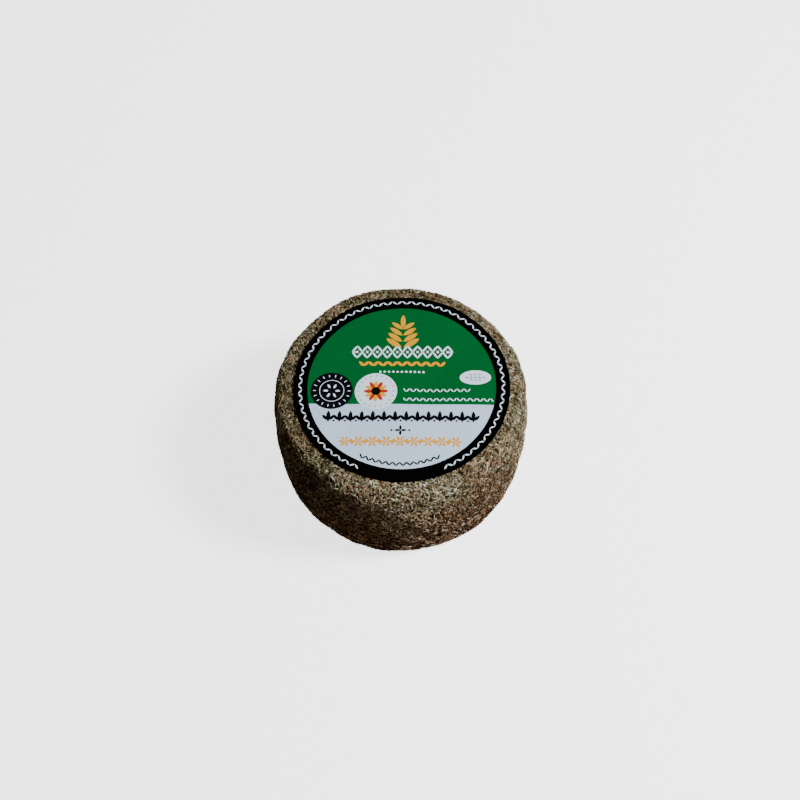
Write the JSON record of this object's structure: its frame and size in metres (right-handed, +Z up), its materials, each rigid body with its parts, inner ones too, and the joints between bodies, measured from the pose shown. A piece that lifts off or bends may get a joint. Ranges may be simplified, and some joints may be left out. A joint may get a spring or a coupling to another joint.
{
  "type": "goat cheese wheel",
  "caption": "Small round wheel of soft goat cheese rolled in dried herbs, with a round paper label on its top.",
  "frame": {"origin": "middle of the flat base that the wheel rests on", "axes": "+Z up through the middle of the label; +Y is the way up of the label's print; the picture looks from -Y"},
  "size_m": [0.1141, 0.1146, 0.0591],
  "materials": {
    "herb_crust": "dried herbs pressed into the rind, rough and matt",
    "printed_paper": "coated paper, printed, satin"
  },
  "bodies": {
    "root": {"herb_coated_cheese": "herb_crust", "label": "printed_paper"}
  },
  "joints": []
}
